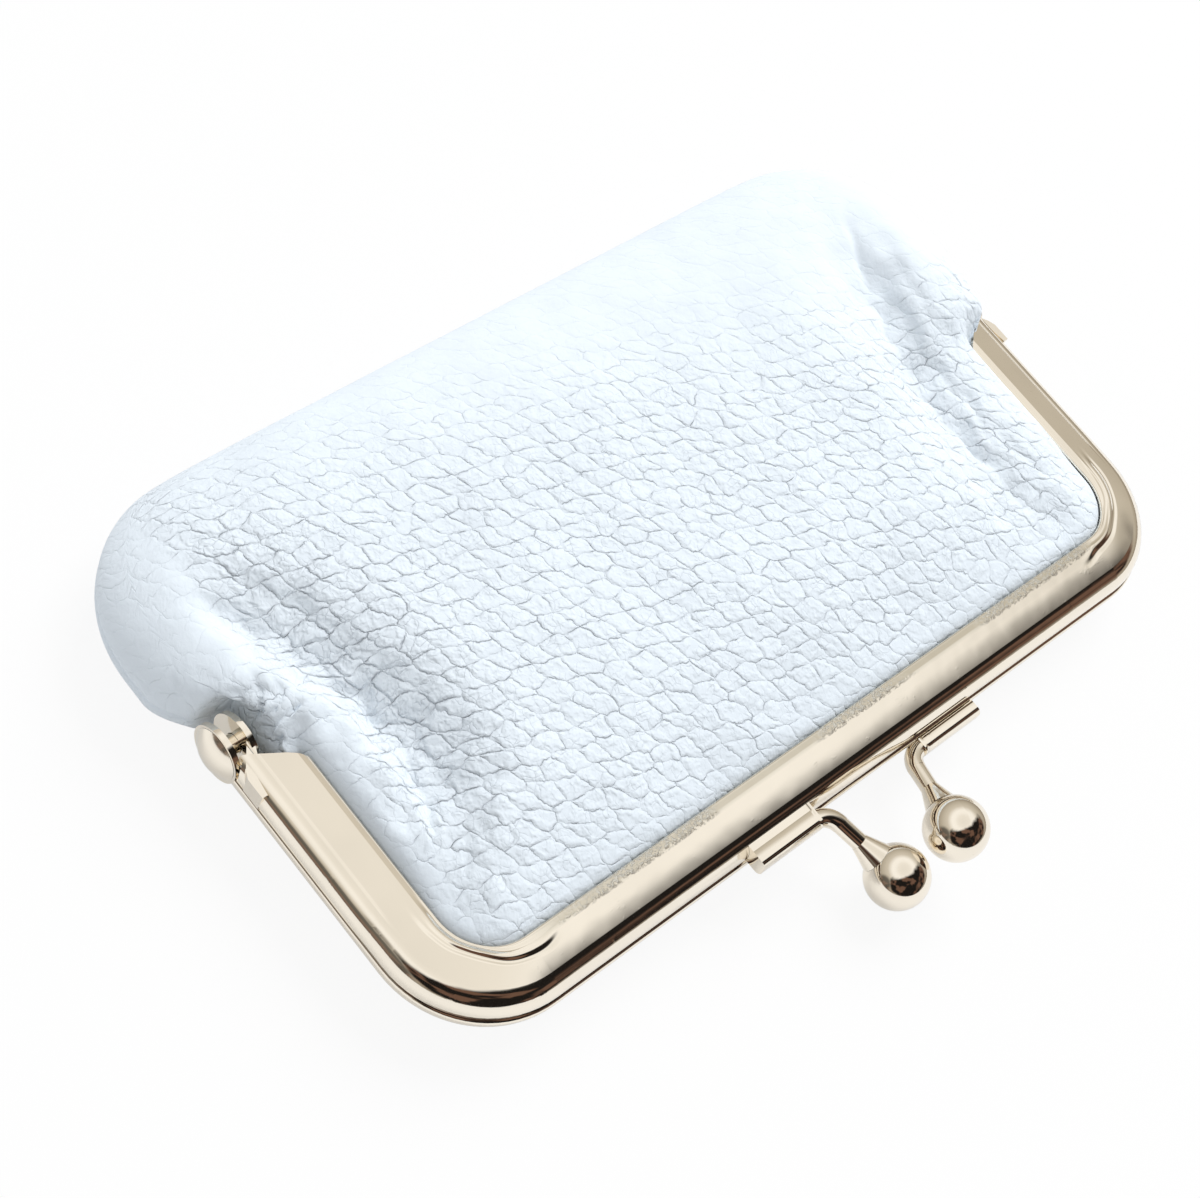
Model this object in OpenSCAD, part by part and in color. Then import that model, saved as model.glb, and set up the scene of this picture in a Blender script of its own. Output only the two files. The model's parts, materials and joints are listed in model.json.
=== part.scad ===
// Kiss lock frame purse, lying on its back panel.
// X runs along the hinge line, -Y towards the clasp, +Y towards the pouch's bottom, +Z up.
// The hinge line is above the origin, and the table is the plane z = 0.

/* [Frame] */
// Outside width of the frame, across its legs
frame_w = 105; // [90:1:130]
// Distance from the hinge line to the outer face of the bar
frame_reach = 35.75; // [31:0.25:45]
// Outside radius of the frame's corners, seen from the front
corner_r = 11.5; // [9.5:0.5:15]
// Thickness of the frame's sheet metal
sheet_t = 0.6; // [0.5:0.05:0.8]
// Width of the lip that shows on the front and back
lip_w = 5.85; // [5:0.05:7]
// Radius of the rounded outer edge of a frame half
shoulder_r = 2.2; // [2:0.05:2.6]
// Slope of the lip's face in degrees
lip_slope = 10; // [4:1:14]
// Width of the bevel along the lip's inner edge
bevel_w = 0.9; // [0.5:0.1:1.2]
// Width of the hidden flange at the parting plane
flange_w = 4.6; // [3.6:0.1:5]
// How far the back half's bar stands out past the front half's bar
back_proud = 0.3; // [0:0.05:0.4]

/* [Hinge] */
// Radius of the round ears
ear_r = 3; // [2.6:0.1:3.2]
// Gap between an outer ear and the inner ear behind it
ear_gap = 1.6; // [1.2:0.1:2]
// Diameter of the rivet's shank
rivet_d = 2; // [1.6:0.1:2.4]
// Diameter of the rivet's domed head
rivet_head_d = 5.4; // [4.6:0.1:5.8]
// Height of the rivet's domed head
rivet_head_h = 1; // [0.8:0.1:2]
// Diameter of the rivet's closed tail
rivet_tail_d = 3.4; // [3:0.1:4]
// Thickness of the rivet's closed tail
rivet_tail_t = 0.7; // [0.5:0.1:1]
// Radial clearance of a rivet in the ear that turns on it
rivet_fit = 0.05; // [0.02:0.01:0.1]

/* [Clasp] */
// Diameter of a clasp ball
ball_d = 6.7; // [5.5:0.1:7.4]
// Distance from the bar's outer face to the balls' centres
ball_reach = 9.75; // [8.5:0.25:12]
// Gap along the hinge line by which the two balls pass each other
ball_pass = 0.4; // [0.2:0.1:1]
// Height by which each ball lies past the parting plane
ball_drop = 1.4; // [0.8:0.05:1.8]
// Thickness of the clasp's rod
rod_d = 1.9; // [1.6:0.1:2.2]
// Length of a rod's foot along the bar
foot_len = 8.1; // [6:0.2:12]
// Distance along the bar from the end of the foot to the ball's centre
neck_run = 5.1; // [4.2:0.1:6.5]
// Centre line radius of the bend from the foot to the neck
bend_r = 2.6; // [1.6:0.1:3]
// Height of a foot's middle above the parting plane
foot_z = 1.2; // [1.15:0.05:1.6]
// Distance of the clasp's middle from the purse's middle
clasp_shift = 0.45; // [-3:0.05:3]
// Radius of the flare where the neck meets the ball
flare_r = 1.75; // [1.4:0.05:2]

/* [Pouch] */
// Distance from the hinge line to the pouch's bottom edge
pouch_len = 25.6; // [22:0.2:60]
// How far the pouch stands past the frame on each side
overhang = 2.3; // [1:0.1:5]
// Radius of the pouch's bottom corners
bottom_r = 15; // [10:0.5:18]
// Height of the front panel above the parting plane
front_h = 7.5; // [6:0.1:8.5]
// Depth of the back panel below the parting plane
back_h = 5.4; // [5.2:0.1:6]
// Thickness of the leather
leather_t = 1; // [0.7:0.05:1.1]
// Thickness of the lining cloth
lining_t = 0.25; // [0.2:0.05:0.4]
// Diameter of the paper cord packed into the frame
cord_d = 1; // [0.8:0.05:1]
// Diameter of the seam's thread
thread_d = 0.5; // [0.3:0.05:0.5]
// Length of one stitch
stitch = 2.2; // [1.6:0.1:3]

/* [Motion] */
// Angle that the front half opens through, which sets the fold in the front panel
open_angle = 80; // [60:1:80]

/* [Hidden] */
$fn = 48;

metal = [0.86, 0.79, 0.66];
metal_dark = [0.74, 0.67, 0.55];
leather = [0.80, 0.88, 0.96];
leather_inner = [0.72, 0.81, 0.90];
cloth = [0.55, 0.60, 0.68];
paper = [0.80, 0.72, 0.55];
thread = [0.90, 0.92, 0.95];

// Clearances that the fits share
part_gap = 0.05;
seat_gap = 0.02;
swing_gap = 0.35;
layer_gap = 0.15;
overlap = 0.5;

half_w = frame_w / 2;
bar_y = -frame_reach;
corner_x = half_w - corner_r;
corner_y = bar_y + corner_r;

// Profile of a frame half: u runs inwards from the outer face, z up from the parting plane
edge_r = 0.5;
wall_z = part_gap + edge_r;
inner_r = shoulder_r - sheet_t;
flange_top = part_gap + sheet_t;
tip_r = sheet_t / 2;
ridge_u = lip_w - bevel_w;
bend_u = shoulder_r * (1 - sin(lip_slope));
bend_z = wall_z + shoulder_r * cos(lip_slope);
ridge_z = bend_z + (ridge_u - bend_u) * tan(lip_slope);
bevel_drop = 0.14;
tip_z = ridge_z - bevel_drop - tip_r;

// Hinge: the outer ears belong to the back half, the inner ears to the front half
ear_bore_r = rivet_d / 2;
outer_ear_x = half_w - sheet_t;
inner_ear_x = outer_ear_x - ear_gap;
tail_x = inner_ear_x - sheet_t - part_gap;
clear_r = ear_r + swing_gap;
strap_z = wall_z + shoulder_r * 0.6;
notch_w = tail_x - rivet_tail_t - layer_gap * 3;
leg_end_y = -clear_r * 0.6;
lip_end_y = -5.4;
flange_end_y = -4.7;

// Clasp
ball_r = ball_d / 2;
ball_x = ball_r + ball_pass / 2;
ball_y = bar_y - ball_reach;
foot_y = bar_y - rod_d / 2;
foot_end_x = ball_x + neck_run;
lift_y = foot_y - ball_y;
lift_z = foot_z + ball_drop;
neck_q = sqrt(lift_y * lift_y + lift_z * lift_z);
neck_tilt = atan2(lift_z, lift_y);
bend_to_ball = sqrt(neck_run * neck_run + (neck_q - bend_r) * (neck_q - bend_r));
bend_angle = atan2(neck_q - bend_r, neck_run) + asin(bend_r / bend_to_ball);
neck_len = sqrt(bend_to_ball * bend_to_ball - bend_r * bend_r);
flare_len = 1.9;
flare_at = neck_len - ball_r - flare_len;
joint_in = 0.3;
joint_step = 0.03;
tip_in = 1.6;
pin_r = rod_d / 2 - 0.2;

// Pouch
side_w = half_w + overhang;
bottom_cx = side_w - bottom_r;
bottom_cy = pouch_len - bottom_r;
cord_r = cord_d / 2;
cord_z = flange_top + part_gap + cord_r;
cord_u = shoulder_r - sqrt(pow(inner_r - cord_r - part_gap, 2) - pow(cord_z - wall_z, 2));
leather_u = cord_u + cord_r + layer_gap;
channel_end_y = lip_end_y - 0.2;
notch_start_y = channel_end_y + 0.8;
notch_end_y = ear_r + swing_gap + 0.25;
flare_end_y = notch_end_y + 5;
mouth_end_y = -0.5;
front_rise = 16;
back_rise = 8;
back_plump = 1;
thread_room = thread_d + layer_gap;
fold_ratio = tan(open_angle / 2);
fold_gap = 0.8;

// Layers from outside to inside: leather outer and inner face, lining outer and inner face
LAYER_Z = [flange_top + part_gap * 2 + lining_t + min(leather_t, 0.95),
           flange_top + part_gap * 2 + lining_t,
           flange_top + part_gap + lining_t,
           flange_top + part_gap];
LAYER_DOWN = [0, leather_t, leather_t + layer_gap, leather_t + layer_gap + lining_t];
LAYER_IN = [0, leather_t, leather_t + layer_gap + thread_room,
            leather_t + layer_gap + thread_room + lining_t];

COLS = 20;
function clamp01(v) = min(1, max(0, v));
function ease(v) = let (c = clamp01(v)) c * c * (3 - 2 * c);
function mix(a, b, k) = a + (b - a) * k;
function arc_x(r, d) = sqrt(max(0, r * r - d * d));

// Half width of the leather at y: in the frame's channel, past the ears, and down the pouch
function panel_w(y) =
    y < corner_y ? corner_x + arc_x(corner_r - leather_u, y - corner_y)
    : y < channel_end_y ? half_w - leather_u
    : y < notch_start_y ? mix(half_w - leather_u, notch_w,
                              (y - channel_end_y) / (notch_start_y - channel_end_y))
    : y < notch_end_y ? notch_w
    : let (full = y > bottom_cy ? bottom_cx + arc_x(bottom_r, y - bottom_cy) : side_w)
      mix(notch_w, full, sin(90 * clamp01((y - notch_end_y) / (flare_end_y - notch_end_y))));

// How far a point lies inside the opening that the frame's lip leaves
function from_lip(x, y) =
    let (qx = abs(x) - corner_x, qy = corner_y - y)
    corner_r - lip_w - norm([max(qx, 0), max(qy, 0)]) - min(max(qx, qy), 0);

function to_pouch(y) = ease((y - notch_start_y) / (notch_end_y - notch_start_y));
function across(s) = sqrt(1 - pow(abs(s), 6));
function along(y) = sqrt(max(0, 1 - pow(max(0, y - 3) / (pouch_len - 3), 2.4)));
function layer_y(y, k) = y > 0 ? y * (pouch_len - LAYER_IN[k]) / pouch_len : y;
function layer_x(s, y, k) = s * (panel_w(y) - LAYER_IN[k] * to_pouch(y));

// Height of layer k of a panel of height h, at fraction s across and at y
function dome(s, y, k, h, rise) =
    let (in_frame = LAYER_Z[k] + (h - LAYER_DOWN[k] - LAYER_Z[k])
                    * sin(90 * clamp01((from_lip(s * panel_w(y), y) - 0.3) / rise)),
         in_pouch = (h - LAYER_DOWN[k]) * across(s) * along(y))
    mix(in_frame, in_pouch, to_pouch(y));

function front_point(s, y, k) =
    [layer_x(s, y, k), layer_y(y, k), dome(s, y, k, front_h, front_rise)];
function back_point(s, y, k) =
    [layer_x(s, y, k), layer_y(y, k),
     -min(back_h - LAYER_DOWN[k], dome(s, y, k, back_h + back_plump, back_rise))];

// Where the fixed part of the front panel starts, so that the opening mouth clears it
function fold_y(s) = max(notch_end_y, front_h * across(s) * fold_ratio + fold_gap);

// Fractions across a panel, closer together towards its sides
function col(i) = sin(90 * (2 * i / COLS - 1));
function arc_rows(n, centre, r) = [for (j = [n : -1 : 1]) centre - r * sin(90 * j / n)];
mouth_low = concat(arc_rows(5, corner_y, corner_r - leather_u), [corner_y]);
MOUTH_ROWS = concat(mouth_low, [for (j = [1 : 3]) mix(corner_y, channel_end_y, j / 4)],
                    [channel_end_y, notch_start_y, -3, -1.8, mouth_end_y]);
pouch_start_y = notch_end_y + 0.01;
PANEL_ROWS = concat(MOUTH_ROWS, [1, 2.4, pouch_start_y],
                    [for (j = [1 : 3]) mix(notch_end_y, flare_end_y, j / 3)],
                    [for (j = [0 : 7]) let (a = 90 * j / 7) mix(bottom_cy, pouch_len, sin(a))]);
POUCH_N = 12;
function pouch_y(s, j) = mix(fold_y(s), pouch_len, sin(90 * j / POUCH_N));
FOLD_N = 3;
function fold_row(s, j) = mix(mouth_end_y + part_gap, fold_y(s) - part_gap, j / FOLD_N);

// Point on the seam's plane, inset from the pouch's corner like the layers are
function corner_point(a, inset) =
    [bottom_cx + bottom_r * cos(a) - inset,
     (bottom_cy + bottom_r * sin(a)) * (pouch_len - inset) / pouch_len];

// Closed shell between two grids of points; each grid is a list of rows
module shell(outer, inner) {
    rows = len(outer);
    cols = len(outer[0]);
    flat_outer = [for (r = outer) each r];
    flat_inner = [for (r = inner) each r];
    n = rows * cols;
    function id(r, c) = r * cols + c;
    quads = [for (r = [0 : rows - 2]) for (c = [0 : cols - 2])
             [id(r, c), id(r, c + 1), id(r + 1, c + 1), id(r + 1, c)]];
    rim = concat([for (c = [0 : cols - 2]) [id(0, c), id(0, c + 1)]],
                 [for (r = [0 : rows - 2]) [id(r, cols - 1), id(r + 1, cols - 1)]],
                 [for (c = [cols - 1 : -1 : 1]) [id(rows - 1, c), id(rows - 1, c - 1)]],
                 [for (r = [rows - 1 : -1 : 1]) [id(r, 0), id(r - 1, 0)]]);
    faces = concat(
        [for (q = quads) each [[q[0], q[2], q[1]], [q[0], q[3], q[2]]]],
        [for (q = quads) each [[q[0] + n, q[1] + n, q[2] + n], [q[0] + n, q[2] + n, q[3] + n]]],
        [for (e = rim) each [[e[0], e[1], e[1] + n], [e[0], e[1] + n, e[0] + n]]]);
    polyhedron(points = concat(flat_outer, flat_inner), faces = faces);
}

module lifted() {
    translate([0, 0, back_h]) children();
}

module shifted() {
    translate([clasp_shift, 0, 0]) children();
}

// The back half is the front half turned over about the purse's centre line
module turned_over() {
    rotate([0, 180, 0]) children();
}

module both_sides() {
    children();
    mirror([1, 0, 0]) children();
}

module channel_outline() {
    translate([edge_r, wall_z]) circle(r = edge_r);
    intersection() {
        translate([shoulder_r, wall_z]) circle(r = shoulder_r);
        translate([0, wall_z]) square(shoulder_r);
    }
    translate([lip_w - tip_r, tip_z]) circle(r = tip_r);
    polygon([[edge_r, part_gap], [lip_w - tip_r, part_gap], [lip_w - tip_r, tip_z + tip_r],
             [ridge_u, ridge_z], [bend_u, bend_z], [shoulder_r, wall_z], [0, wall_z]]);
}

module channel_hollow() {
    inner_bend_u = shoulder_r - inner_r * sin(lip_slope);
    inner_bend_z = wall_z + inner_r * cos(lip_slope);
    under_z = tip_z - tip_r;
    intersection() {
        translate([shoulder_r, wall_z]) circle(r = inner_r);
        translate([0, flange_top]) square([shoulder_r, shoulder_r * 2]);
    }
    polygon([[shoulder_r - 0.01, flange_top], [lip_w + 1, flange_top], [lip_w + 1, tip_z],
             [lip_w - tip_r, tip_z], [lip_w - tip_r, under_z], [ridge_u, ridge_z - sheet_t * 1.02],
             [inner_bend_u, inner_bend_z]]);
    translate([flange_w, -1]) square([lip_w, flange_top + 1.5]);
}

module channel_profile() {
    difference() {
        channel_outline();
        difference() {
            channel_hollow();
            translate([lip_w - tip_r, tip_z]) circle(r = tip_r);
        }
    }
}

module channel(proud = 0) {
    translate([-corner_x, bar_y - proud, 0]) rotate([90, 0, 90])
        linear_extrude(corner_x * 2) channel_profile();
    both_sides() {
        translate([-corner_x, corner_y - proud, 0]) rotate([0, 0, 180])
            rotate_extrude(angle = 90) translate([corner_r, 0]) mirror([1, 0]) channel_profile();
        translate([-half_w, leg_end_y, 0]) rotate([90, 0, 0])
            linear_extrude(leg_end_y - corner_y + proud) channel_profile();
    }
}

// Slanted cut across the end of a leg's lip, and square cut across its flange
module leg_cuts() {
    tall = ridge_z + 1;
    both_sides() {
        translate([-half_w, 0, flange_top + part_gap]) linear_extrude(tall)
            polygon([[sheet_t + 0.3, leg_end_y], [lip_w - 1.6, lip_end_y + 1.2],
                     [lip_w - 0.6, lip_end_y + 0.4], [lip_w + 1, lip_end_y - 1.6],
                     [lip_w + 1, 1], [sheet_t + 0.3, 1]]);
        translate([-half_w + sheet_t + 0.3, flange_end_y, -1])
            cube([lip_w + 1, clear_r * 2, tall / 2 + 1]);
    }
}

module ear_disc(x, r, t) {
    translate([x, 0, 0]) rotate([0, 90, 0]) cylinder(r = r, h = t);
}

module front_half_frame() {
    step_w = outer_ear_x - inner_ear_x + sheet_t;
    neck_h = wall_z + shoulder_r * 0.8;
    difference() {
        union() {
            difference() {
                channel();
                leg_cuts();
            }
            both_sides() {
                translate([-half_w, 0, part_gap]) linear_extrude(neck_h - part_gap)
                    polygon([[0, lip_end_y - 1], [0, -clear_r - 0.9], [0.35, -clear_r - 0.1],
                             [step_w * 0.72, -1.9], [step_w, -1.1], [step_w, 0.2],
                             [step_w + sheet_t, 0.2], [step_w + sheet_t, -1.5],
                             [step_w * 0.9 + sheet_t * 0.5, -2.6],
                             [sheet_t + 0.25, -clear_r - 1.3], [sheet_t, lip_end_y - 1]]);
                ear_disc(-inner_ear_x, ear_r, sheet_t);
            }
        }
        both_sides() {
            ear_disc(-half_w - 1, clear_r, sheet_t + 1 + swing_gap / 2);
            ear_disc(-inner_ear_x - 1, ear_bore_r + rivet_fit, sheet_t + 2);
        }
    }
}

module back_half_frame() {
    difference() {
        union() {
            turned_over() difference() {
                channel(back_proud);
                leg_cuts();
            }
            both_sides() {
                ear_disc(-half_w, ear_r, sheet_t);
                translate([-half_w, 0, 0]) rotate([90, 0, 0])
                    linear_extrude(overlap - lip_end_y)
                        polygon([[edge_r / 2, -part_gap - 0.1], [sheet_t, -part_gap],
                                 [sheet_t, -strap_z], [0.02, -wall_z]]);
            }
        }
        both_sides() {
            ear_disc(-outer_ear_x + swing_gap / 2, clear_r, half_w - notch_w - sheet_t);
            ear_disc(-half_w - 1, ear_bore_r + seat_gap, sheet_t + 2);
        }
    }
}

module rivet() {
    dome_r = (pow(rivet_head_d / 2, 2) + pow(rivet_head_h, 2)) / (2 * rivet_head_h);
    head_x = -half_w - seat_gap;
    intersection() {
        translate([head_x - rivet_head_h + dome_r, 0, 0]) sphere(r = dome_r);
        ear_disc(head_x - rivet_head_h - 1, rivet_head_d, rivet_head_h + 1);
    }
    ear_disc(head_x - overlap / 2, rivet_d / 2, half_w - tail_x + seat_gap + overlap);
    ear_disc(-tail_x, rivet_tail_d / 2, rivet_tail_t * 0.6);
    translate([-tail_x + rivet_tail_t * 0.6, 0, 0]) rotate([0, 90, 0])
        cylinder(r1 = rivet_tail_d / 2, r2 = rivet_tail_d / 2 - rivet_tail_t * 0.4,
                 h = rivet_tail_t * 0.4);
}

// Section of the foot: flat towards the bar, rounded away from it
module foot_section() {
    r = rod_d * 0.36;
    a = rod_d / 2 + 0.06;
    translate([-a + r, a - r]) circle(r = r);
    translate([-a + r, r - a]) circle(r = r);
    translate([-a, r - a]) square([a * 2, (a - r) * 2]);
    translate([r - a, -a]) square([a * 2 + shoulder_r - r, a * 2]);
}

module neck_frame() {
    translate([-foot_end_x, foot_y, foot_z]) rotate([neck_tilt, 0, 0]) children();
}

// Carries its children to the ball's centre, with their Z along the neck, pointing outwards
module at_ball() {
    neck_frame()
        translate([neck_run, -neck_q, 0]) rotate([0, 90, -bend_angle]) children();
}

// A clasp arm, with its foot cut to a bar that stands out by proud
module clasp_arm(proud = 0) {
    face_y = bar_y - proud;
    shoulder_y = face_y + shoulder_r;
    start_x = -foot_end_x - foot_len;
    cut_len = foot_len + bend_r + 2;
    difference() {
        union() {
            translate([start_x, foot_y, foot_z]) rotate([90, 0, 90])
                linear_extrude(foot_len + joint_in) foot_section();
            neck_frame() {
                translate([0, -bend_r, 0]) rotate([0, 0, 90 - bend_angle])
                    rotate_extrude(angle = bend_angle) translate([bend_r, 0])
                        circle(r = rod_d / 2);
                translate([bend_r * sin(bend_angle), bend_r * (cos(bend_angle) - 1), 0])
                    rotate([0, 90, -bend_angle]) {
                        translate([0, 0, -joint_in])
                            cylinder(r = rod_d / 2 - joint_step, h = flare_at + joint_in * 2);
                        translate([0, 0, flare_at])
                            cylinder(r1 = rod_d / 2, r2 = flare_r, h = flare_len + overlap);
                    }
            }
        }
        translate([start_x - 1, shoulder_y, wall_z]) rotate([0, 90, 0])
            cylinder(r = shoulder_r + seat_gap, h = cut_len, $fn = 96);
        translate([start_x - 1, face_y - seat_gap, -1])
            cube([cut_len, shoulder_r * 2, 1 + wall_z]);
        translate([start_x - 1, shoulder_y - seat_gap, -1])
            cube([cut_len, shoulder_r * 2, 4]);
        at_ball() sphere(r = ball_r + seat_gap);
    }
    at_ball() translate([0, 0, -ball_r - overlap]) cylinder(r = pin_r, h = overlap + tip_in);
}

module clasp_ball() {
    difference() {
        at_ball() sphere(r = ball_r);
        at_ball() translate([0, 0, -ball_r - 1])
            cylinder(r = pin_r + seat_gap, h = 1 + tip_in + seat_gap);
    }
}

module paper_cord() {
    leg_len = -(corner_y - lip_end_y) - 0.6;
    translate([-corner_x, bar_y + cord_u, cord_z]) rotate([0, 90, 0])
        cylinder(r = cord_r, h = corner_x * 2);
    both_sides() {
        translate([-corner_x, corner_y, cord_z]) rotate([0, 0, 180])
            rotate_extrude(angle = 90) translate([corner_r - cord_u, 0]) circle(r = cord_r);
        translate([-half_w + cord_u, corner_y, cord_z]) rotate([-90, 0, 0])
            cylinder(r = cord_r, h = leg_len);
    }
}

module back_frame() {
    color(metal) lifted() back_half_frame();
}

module front_frame() {
    color(metal) lifted() front_half_frame();
}

module left_hinge_rivet() {
    color(metal_dark) lifted() rivet();
}

module right_hinge_rivet() {
    color(metal_dark) lifted() mirror([1, 0, 0]) rivet();
}

module back_clasp_arm() {
    color(metal) lifted() shifted() turned_over() clasp_arm(back_proud);
}

module front_clasp_arm() {
    color(metal) lifted() shifted() clasp_arm();
}

module back_clasp_ball() {
    color(metal_dark) lifted() shifted() turned_over() clasp_ball();
}

module front_clasp_ball() {
    color(metal_dark) lifted() shifted() clasp_ball();
}

module back_paper_cord() {
    color(paper) lifted() translate([0, -back_proud, 0]) turned_over() paper_cord();
}

module front_paper_cord() {
    color(paper) lifted() paper_cord();
}

module back_shell(k) {
    outer = [for (y = PANEL_ROWS) [for (i = [COLS : -1 : 0]) back_point(col(i), y, k)]];
    inner = [for (y = PANEL_ROWS) [for (i = [COLS : -1 : 0]) back_point(col(i), y, k + 1)]];
    shell(outer, inner);
}

module back_leather_panel() {
    color(leather) lifted() back_shell(0);
}

module front_leather_pouch() {
    outer = [for (j = [0 : POUCH_N]) [for (i = [0 : COLS])
             front_point(col(i), pouch_y(col(i), j), 0)]];
    inner = [for (j = [0 : POUCH_N]) [for (i = [0 : COLS])
             front_point(col(i), pouch_y(col(i), j), 1)]];
    color(leather) lifted() shell(outer, inner);
}

module front_leather_fold() {
    outer = [for (j = [0 : FOLD_N]) [for (i = [0 : COLS])
             front_point(col(i), fold_row(col(i), j), 0)]];
    inner = [for (j = [0 : FOLD_N]) [for (i = [0 : COLS])
             front_point(col(i), fold_row(col(i), j), 1)]];
    color(leather_inner) lifted() shell(outer, inner);
}

module front_leather_mouth() {
    outer = [for (y = MOUTH_ROWS) [for (i = [0 : COLS]) front_point(col(i), y, 0)]];
    inner = [for (y = MOUTH_ROWS) [for (i = [0 : COLS]) front_point(col(i), y, 1)]];
    color(leather) lifted() shell(outer, inner);
}

module back_lining() {
    color(cloth) lifted() back_shell(2);
}

module front_lining() {
    outer = [for (y = PANEL_ROWS) [for (i = [0 : COLS]) front_point(col(i), y, 2)]];
    inner = [for (y = PANEL_ROWS) [for (i = [0 : COLS]) front_point(col(i), y, 3)]];
    color(cloth) lifted() shell(outer, inner);
}

// Stitches of diameter d along the pouch's edge, inset from it
module stitches(inset, d) {
    pitch = stitch + 0.9;
    straight = (bottom_cx - inset) * 2;
    across_n = floor(straight / pitch);
    arc_n = floor((bottom_r - inset) * PI / 2 / pitch);
    half_turn = 45 * stitch / pitch / arc_n;
    for (i = [0 : across_n - 1])
        translate([((i + 0.5) / across_n - 0.5) * straight, pouch_len - inset, 0])
            rotate([0, 90, 0]) cylinder(d = d, h = stitch, center = true);
    both_sides() for (i = [0 : arc_n - 1]) {
        a = 90 * (i + 0.5) / arc_n;
        from = corner_point(a - half_turn, inset);
        to = corner_point(a + half_turn, inset);
        translate([from.x, from.y, 0]) rotate([0, 90, atan2(to.y - from.y, to.x - from.x)])
            cylinder(d = d, h = norm(to - from));
    }
}

module seam_thread() {
    color(thread) lifted() stitches((LAYER_IN[1] + LAYER_IN[2]) / 2, thread_d);
}

module lining_thread() {
    fine_d = thread_d * 0.6;
    color(thread) lifted() stitches(LAYER_IN[3] + layer_gap + fine_d / 2, fine_d);
}

back_frame();
front_frame();
left_hinge_rivet();
right_hinge_rivet();
back_clasp_arm();
front_clasp_arm();
back_clasp_ball();
front_clasp_ball();
back_paper_cord();
front_paper_cord();
back_leather_panel();
front_leather_pouch();
front_leather_fold();
front_leather_mouth();
back_lining();
front_lining();
seam_thread();
lining_thread();
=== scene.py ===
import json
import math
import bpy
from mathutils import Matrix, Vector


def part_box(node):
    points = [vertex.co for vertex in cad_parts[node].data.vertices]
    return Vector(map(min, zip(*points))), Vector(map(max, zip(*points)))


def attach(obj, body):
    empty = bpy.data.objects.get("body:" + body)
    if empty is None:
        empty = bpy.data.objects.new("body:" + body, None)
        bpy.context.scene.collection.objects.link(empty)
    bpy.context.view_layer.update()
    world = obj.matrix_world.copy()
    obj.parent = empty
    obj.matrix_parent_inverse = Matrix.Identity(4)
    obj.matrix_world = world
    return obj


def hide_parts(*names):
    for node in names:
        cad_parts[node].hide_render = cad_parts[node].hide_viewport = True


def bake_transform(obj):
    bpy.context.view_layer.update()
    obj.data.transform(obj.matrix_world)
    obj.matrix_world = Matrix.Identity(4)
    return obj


bl_info = {
    "name": "Kiss Lock Purse",
    "version": (1, 0, 0),
    "blender": (4, 5, 0),
    "location": "3D View > Sidebar > Purse",
    "description": "Dresses the kiss lock purse in leather, plated metal, lining and stitches",
    "category": "Object",
}

from functools import partial

import bpy
import numpy as np
from mathutils import Matrix, Vector

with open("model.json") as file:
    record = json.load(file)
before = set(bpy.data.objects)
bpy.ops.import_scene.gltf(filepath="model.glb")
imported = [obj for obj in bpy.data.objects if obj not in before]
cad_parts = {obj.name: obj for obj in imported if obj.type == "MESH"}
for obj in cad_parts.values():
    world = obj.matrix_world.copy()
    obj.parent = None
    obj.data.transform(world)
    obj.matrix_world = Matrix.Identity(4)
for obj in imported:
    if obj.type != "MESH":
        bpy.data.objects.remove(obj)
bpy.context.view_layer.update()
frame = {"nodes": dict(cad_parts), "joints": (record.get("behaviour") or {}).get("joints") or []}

MM = 0.001
FRAME_NODES = ("back_frame", "front_frame")
RIVET_NODES = ("left_hinge_rivet", "right_hinge_rivet")
CLASP_NODES = ("back_clasp_arm", "front_clasp_arm", "back_clasp_ball", "front_clasp_ball")


def box_mm(node):
    """A node's lowest and highest corners in millimetres, to a micrometre."""
    return [[round(v / MM, 3) for v in corner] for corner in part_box(node)]


metal_box = box_mm("front_frame")
pouch_box = box_mm("front_leather_pouch")
rivet_box = box_mm("left_hinge_rivet")

# Height of the parting plane, which holds the hinge line, in millimetres
PARTING = round(frame["joints"][0]["pos_m"][2] / MM, 3)

# Frame's lengths in millimetres, and where the leather and the cords lie in its channel, from
# the outer edge (U) and from the parting plane (Z)
HALF_W = metal_box[1][0]
BAR_Y = metal_box[0][1]
CORNER_R = 11.5
CORNER_X = HALF_W - CORNER_R
CORNER_Y = BAR_Y + CORNER_R
LIP_W = 5.85
LIP_END_Y = -5.4
LEATHER_U = 2.03
CHANNEL_Z = 1.95
CORD_U = 1.38
CORD_Z = 1.2

# Pouch's lengths in millimetres: half width, length past the hinge and corner radius
SIDE_W = pouch_box[1][0]
POUCH_LEN = pouch_box[1][1]
BOTTOM_R = 15.0
BOTTOM_Y = POUCH_LEN - BOTTOM_R

# Room at the hinge: half widths beside the rivet's tail and the ear, and how far both reach
NOTCH_W = -rivet_box[1][0] - 0.35
EAR_W = 49.35
RIVET_CLEAR = 1.9
EAR_CLEAR = 3.25
NO_LIMIT = 60.0

# Half width at the hinge, and the y where the widening to the pouch starts and stops
SEAM_HINGE = (49.6, -1.0, 8.0)
LEFT_ROLL = (50.8, -1.5, 6.0)
RIGHT_ROLL = (53.3, -3.8, 7.0)
LINING_HINGE = (48.4, 3.4, 10.0)

# Panels' form: share of the rows before the rounded end, that end's length, share of the half
# width where the seam starts, and the powers that round the sides and the end
ROWS_TO_END = 0.8
END_RUN = 12.0
SEAM_SHARE = 0.94
LEFT_POWER = 7
RIGHT_POWER = 10
END_POWER = 2.4
END_START = 3.0

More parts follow.
